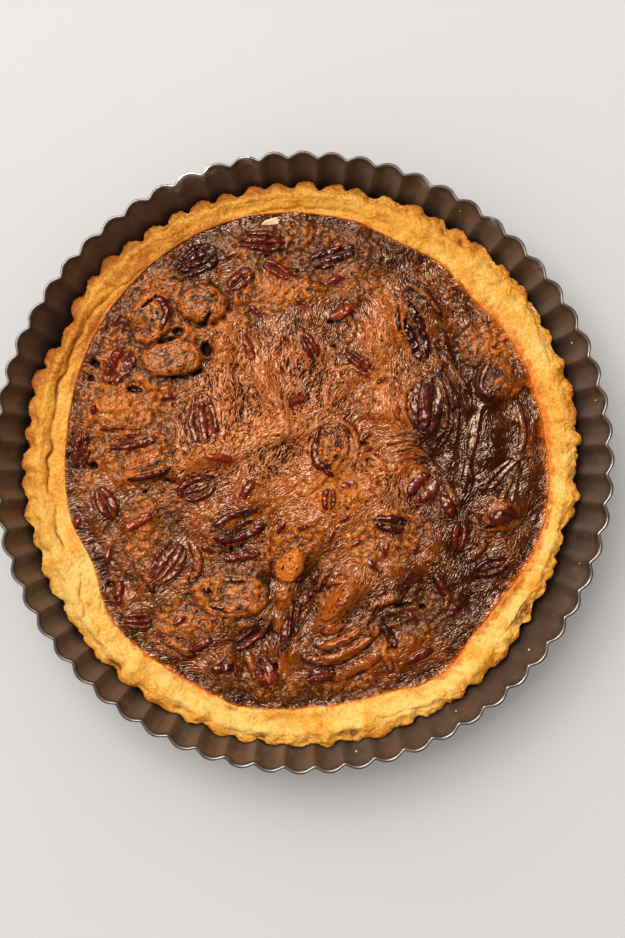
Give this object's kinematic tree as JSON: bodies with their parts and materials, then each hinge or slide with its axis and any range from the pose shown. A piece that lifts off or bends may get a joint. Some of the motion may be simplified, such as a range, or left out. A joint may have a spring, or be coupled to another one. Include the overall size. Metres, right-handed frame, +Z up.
{
  "type": "pecan pie",
  "caption": "Round baked pecan pie with a scalloped pastry edge, nuts sunk in a glossy baked filling, standing in a deep fluted tin with a rolled rim.",
  "frame": {"origin": "middle of the tin's flat underside", "axes": "+Z up, through the middle of the pie; +X and +Y lie in the table's plane"},
  "size_m": [0.2813, 0.2814, 0.04],
  "materials": {
    "dark_tin": "dark non-stick coat, worn bright along the rolled rim",
    "baked_pastry": "matt, golden brown short pastry",
    "baked_filling": "glossy, foamy baked syrup skin",
    "roasted_pecan": "syrup-glazed, dark mahogany"
  },
  "bodies": {
    "root": {"tin": "dark_tin", "crust": "baked_pastry", "filling": "baked_filling", "pecan_01": "roasted_pecan", "pecan_02": "roasted_pecan", "pecan_03": "roasted_pecan", "pecan_04": "roasted_pecan", "pecan_05": "roasted_pecan", "pecan_06": "roasted_pecan", "pecan_07": "roasted_pecan", "pecan_08": "roasted_pecan", "pecan_09": "roasted_pecan", "pecan_10": "roasted_pecan", "pecan_11": "roasted_pecan", "pecan_12": "roasted_pecan", "pecan_13": "roasted_pecan", "pecan_14": "roasted_pecan", "pecan_15": "roasted_pecan", "pecan_16": "roasted_pecan", "pecan_17": "roasted_pecan", "pecan_18": "roasted_pecan", "pecan_19": "roasted_pecan", "pecan_20": "roasted_pecan", "pecan_21": "roasted_pecan", "pecan_22": "roasted_pecan", "pecan_23": "roasted_pecan", "pecan_24": "roasted_pecan", "pecan_25": "roasted_pecan", "pecan_26": "roasted_pecan", "pecan_27": "roasted_pecan", "pecan_28": "roasted_pecan", "pecan_29": "roasted_pecan", "pecan_30": "roasted_pecan", "pecan_31": "roasted_pecan", "pecan_32": "roasted_pecan", "pecan_33": "roasted_pecan", "pecan_34": "roasted_pecan", "pecan_35": "roasted_pecan", "pecan_36": "roasted_pecan", "pecan_37": "roasted_pecan", "pecan_38": "roasted_pecan", "pecan_39": "roasted_pecan", "pecan_40": "roasted_pecan", "pecan_41": "roasted_pecan", "pecan_42": "roasted_pecan", "pecan_43": "roasted_pecan", "pecan_44": "roasted_pecan", "pecan_45": "roasted_pecan", "pecan_46": "roasted_pecan", "pecan_47": "roasted_pecan", "pecan_48": "roasted_pecan", "pecan_49": "roasted_pecan", "pecan_50": "roasted_pecan", "pecan_51": "roasted_pecan", "pecan_52": "roasted_pecan", "pecan_53": "roasted_pecan"}
  },
  "joints": []
}
